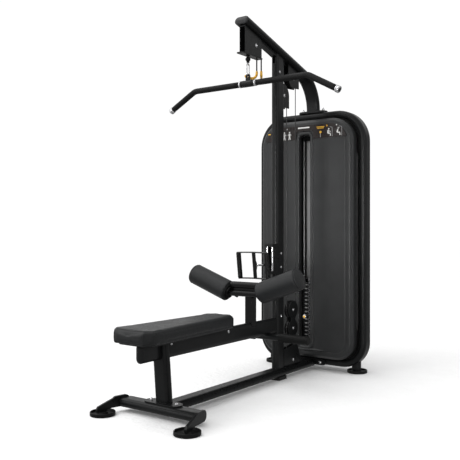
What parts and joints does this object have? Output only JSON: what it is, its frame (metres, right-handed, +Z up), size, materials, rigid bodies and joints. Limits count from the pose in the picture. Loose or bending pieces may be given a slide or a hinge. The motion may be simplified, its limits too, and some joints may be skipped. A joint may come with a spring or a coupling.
{
  "type": "lat pulldown machine",
  "caption": "Cable strength machine with a bench seat, thigh rollers, overhead lat bar, low rowing handle and a shrouded weight stack tower.",
  "frame": {"origin": "centre of the bounding box at floor level", "axes": "+Z up, +Y from the bench towards the weight stack tower, +X to the right of someone looking from the bench to the tower"},
  "size_m": [1.2704, 1.98, 2.2804],
  "materials": {
    "frame_black": "satin charcoal-black powder coat",
    "shroud_grey": "fine-grained moulded dark grey plastic",
    "upholstery": "dark grey vinyl upholstery with a fine grain",
    "rubber": "matt black moulded rubber",
    "plastic_black": "matt black moulded plastic",
    "pulley_black": "black reinforced nylon",
    "plate_black": "textured black paint on steel plates",
    "steel_black": "black coated steel",
    "chrome": "polished chrome",
    "cable": "black plastic sleeve on steel wire rope",
    "pin_yellow": "glossy amber yellow plastic knob on a steel pin"
  },
  "bodies": {
    "root": {"front_cross_tube": "frame_black", "front_foot_brackets": "frame_black", "rubber_feet": "rubber", "seat_post": "frame_black", "seat_beam": "frame_black", "seat_beam_end_cap": "plastic_black", "seat_board": "plastic_black", "seat_pad": "upholstery", "base_beam": "frame_black", "upright": "frame_black", "boom": "frame_black", "boom_end_cap": "plastic_black", "boom_rail": "frame_black", "pulley_housing": "frame_black", "bar_hooks": "steel_black", "rear_pulley_bracket": "frame_black", "upright_pulley_bracket": "frame_black", "lower_pulley_bracket": "frame_black", "row_guide_block": "frame_black", "foot_rest_bar": "frame_black", "foot_rest_grips": "rubber", "pad_frame": "frame_black", "tower_ring": "frame_black", "front_shroud": "shroud_grey", "rear_shroud": "shroud_grey", "guide_rods": "chrome", "tower_top_bracket": "frame_black", "fixed_plates": "plate_black", "stack_cushions": "rubber", "frame_bolts": "chrome", "main_cable": "cable", "stack_cable": "cable"},
    "stack": {"selected_plates": "plate_black", "stack_head": "chrome", "lift_strand": "cable"},
    "pin": {"selector_pin": "pin_yellow"},
    "travelling_block": {"block_plates": "frame_black", "block_axles": "chrome", "block_cable_loops": "cable"},
    "block_upper_wheel": {"block_upper_pulley": "pulley_black"},
    "block_lower_wheel": {"block_lower_pulley": "pulley_black"},
    "front_wheel": {"front_pulley": "pulley_black"},
    "rear_wheel": {"rear_pulley": "pulley_black"},
    "upright_wheel": {"upright_pulley": "pulley_black"},
    "row_wheel": {"row_pulley": "pulley_black"},
    "lower_wheel": {"lower_pulley": "pulley_black"},
    "tower_bottom_wheel": {"tower_bottom_pulley": "pulley_black"},
    "tower_top_wheel": {"tower_top_pulley": "pulley_black"},
    "lat_cable_end": {"lat_ball_stop": "rubber"},
    "lat_hanger": {"lat_carabiner": "chrome", "bar_hanger": "steel_black"},
    "lat_bar": {"lat_bar": "chrome", "bar_grips": "rubber"},
    "row_cable_end": {"row_ball_stop": "rubber"},
    "row_grip": {"row_carabiner": "chrome", "row_handle": "steel_black"},
    "left_roller": {"left_roller": "upholstery"},
    "right_roller": {"right_roller": "upholstery"},
    "left_guide": {"left_guide_roller": "chrome"},
    "right_guide": {"right_guide_roller": "chrome"}
  },
  "joints": [
    {"name": "stack_rise", "type": "slide", "parent": "root", "child": "stack", "axis": [0, 0, 1], "range_m": [0, 0.9], "deforming": ["lift_strand"]},
    {"name": "pin_pull", "type": "slide", "parent": "stack", "child": "pin", "axis": [0, -1, 0], "range_m": [0, 0.08]},
    {"name": "block_rise", "type": "slide", "parent": "root", "child": "travelling_block", "axis": [0, 0, 1], "range_m": [0, 0.46], "deforming": ["block_cable_loops"]},
    {"name": "lat_pull", "type": "slide", "parent": "root", "child": "lat_cable_end", "axis": [0, 0, -1], "range_m": [0, 0.91]},
    {"name": "lat_swivel", "type": "hinge", "parent": "lat_cable_end", "child": "lat_hanger", "pos_m": [0, 0.053, 2.008], "axis": [0, 0, 1], "range_deg": [-35, 35]},
    {"name": "bar_spin", "type": "hinge", "parent": "lat_hanger", "child": "lat_bar", "pos_m": [0, 0.053, 1.881], "axis": [1, 0, 0], "range_deg": [-90, 90]},
    {"name": "row_pull", "type": "slide", "parent": "root", "child": "row_cable_end", "axis": [0, -0.9962, 0.0872], "range_m": [0, 0.9]},
    {"name": "row_swivel", "type": "hinge", "parent": "row_cable_end", "child": "row_grip", "pos_m": [0, 0.219, 0.757], "axis": [0, 1, 0], "range_deg": [-20, 20]},
    {"name": "front_pulley_spin", "type": "hinge", "parent": "root", "child": "front_wheel", "pos_m": [0, 0.11, 2.125], "axis": [1, 0, 0], "range_deg": [0, 906]},
    {"name": "rear_pulley_spin", "type": "hinge", "parent": "root", "child": "rear_wheel", "pos_m": [0, 0.563, 1.99724], "axis": [1, 0, 0], "range_deg": [0, 906]},
    {"name": "block_upper_spin", "type": "hinge", "parent": "travelling_block", "child": "block_upper_wheel", "pos_m": [0, 0.563, 0.44], "axis": [1, 0, 0], "range_deg": [0, 454]},
    {"name": "block_lower_spin", "type": "hinge", "parent": "travelling_block", "child": "block_lower_wheel", "pos_m": [0, 0.563, 0.317], "axis": [1, 0, 0], "range_deg": [-454, 0]},
    {"name": "lower_pulley_spin", "type": "hinge", "parent": "root", "child": "lower_wheel", "pos_m": [0, 0.563, 0.105], "axis": [1, 0, 0], "range_deg": [-906, 0]},
    {"name": "tower_bottom_spin", "type": "hinge", "parent": "root", "child": "tower_bottom_wheel", "pos_m": [0, 0.925, 0.078], "axis": [1, 0, 0], "range_deg": [-1720, 0]},
    {"name": "tower_top_spin", "type": "hinge", "parent": "root", "child": "tower_top_wheel", "pos_m": [0, 0.9125, 1.69], "axis": [1, 0, 0], "range_deg": [-1215, 0]},
    {"name": "upright_pulley_spin", "type": "hinge", "parent": "root", "child": "upright_wheel", "pos_m": [0, 0.449, 1.866], "axis": [1, 0, 0], "range_deg": [0, 906]},
    {"name": "row_pulley_spin", "type": "hinge", "parent": "root", "child": "row_wheel", "pos_m": [0, 0.352, 0.797], "axis": [1, 0, 0], "range_deg": [-1290, 0]},
    {"name": "left_roller_spin", "type": "hinge", "parent": "root", "child": "left_roller", "pos_m": [-0.118, 0.016, 0.599], "axis": [-0.9397, 0, 0.342], "continuous": true},
    {"name": "right_roller_spin", "type": "hinge", "parent": "root", "child": "right_roller", "pos_m": [0.118, 0.016, 0.599], "axis": [0.9397, 0, 0.342], "continuous": true},
    {"name": "left_guide_spin", "type": "hinge", "parent": "root", "child": "left_guide", "pos_m": [-0.019, 0.3, 0.757], "axis": [0, 0, 1], "continuous": true},
    {"name": "right_guide_spin", "type": "hinge", "parent": "root", "child": "right_guide", "pos_m": [0.019, 0.3, 0.757], "axis": [0, 0, 1], "continuous": true}
  ],
  "couplings": [
    {"joint": "block_rise", "follows": "stack_rise", "ratio": 0.5},
    {"joint": "lat_pull", "follows": "stack_rise", "ratio": 1},
    {"joint": "front_pulley_spin", "follows": "stack_rise", "rad_per_m": 17.544},
    {"joint": "rear_pulley_spin", "follows": "stack_rise", "rad_per_m": 17.544},
    {"joint": "block_upper_spin", "follows": "stack_rise", "rad_per_m": 8.7719},
    {"joint": "block_lower_spin", "follows": "stack_rise", "rad_per_m": -8.7719},
    {"joint": "lower_pulley_spin", "follows": "stack_rise", "rad_per_m": -17.544},
    {"joint": "tower_bottom_spin", "follows": "stack_rise", "rad_per_m": -33.333},
    {"joint": "tower_top_spin", "follows": "stack_rise", "rad_per_m": -23.529},
    {"joint": "upright_pulley_spin", "follows": "row_pull", "rad_per_m": 17.544},
    {"joint": "row_pulley_spin", "follows": "row_pull", "rad_per_m": -25}
  ]
}
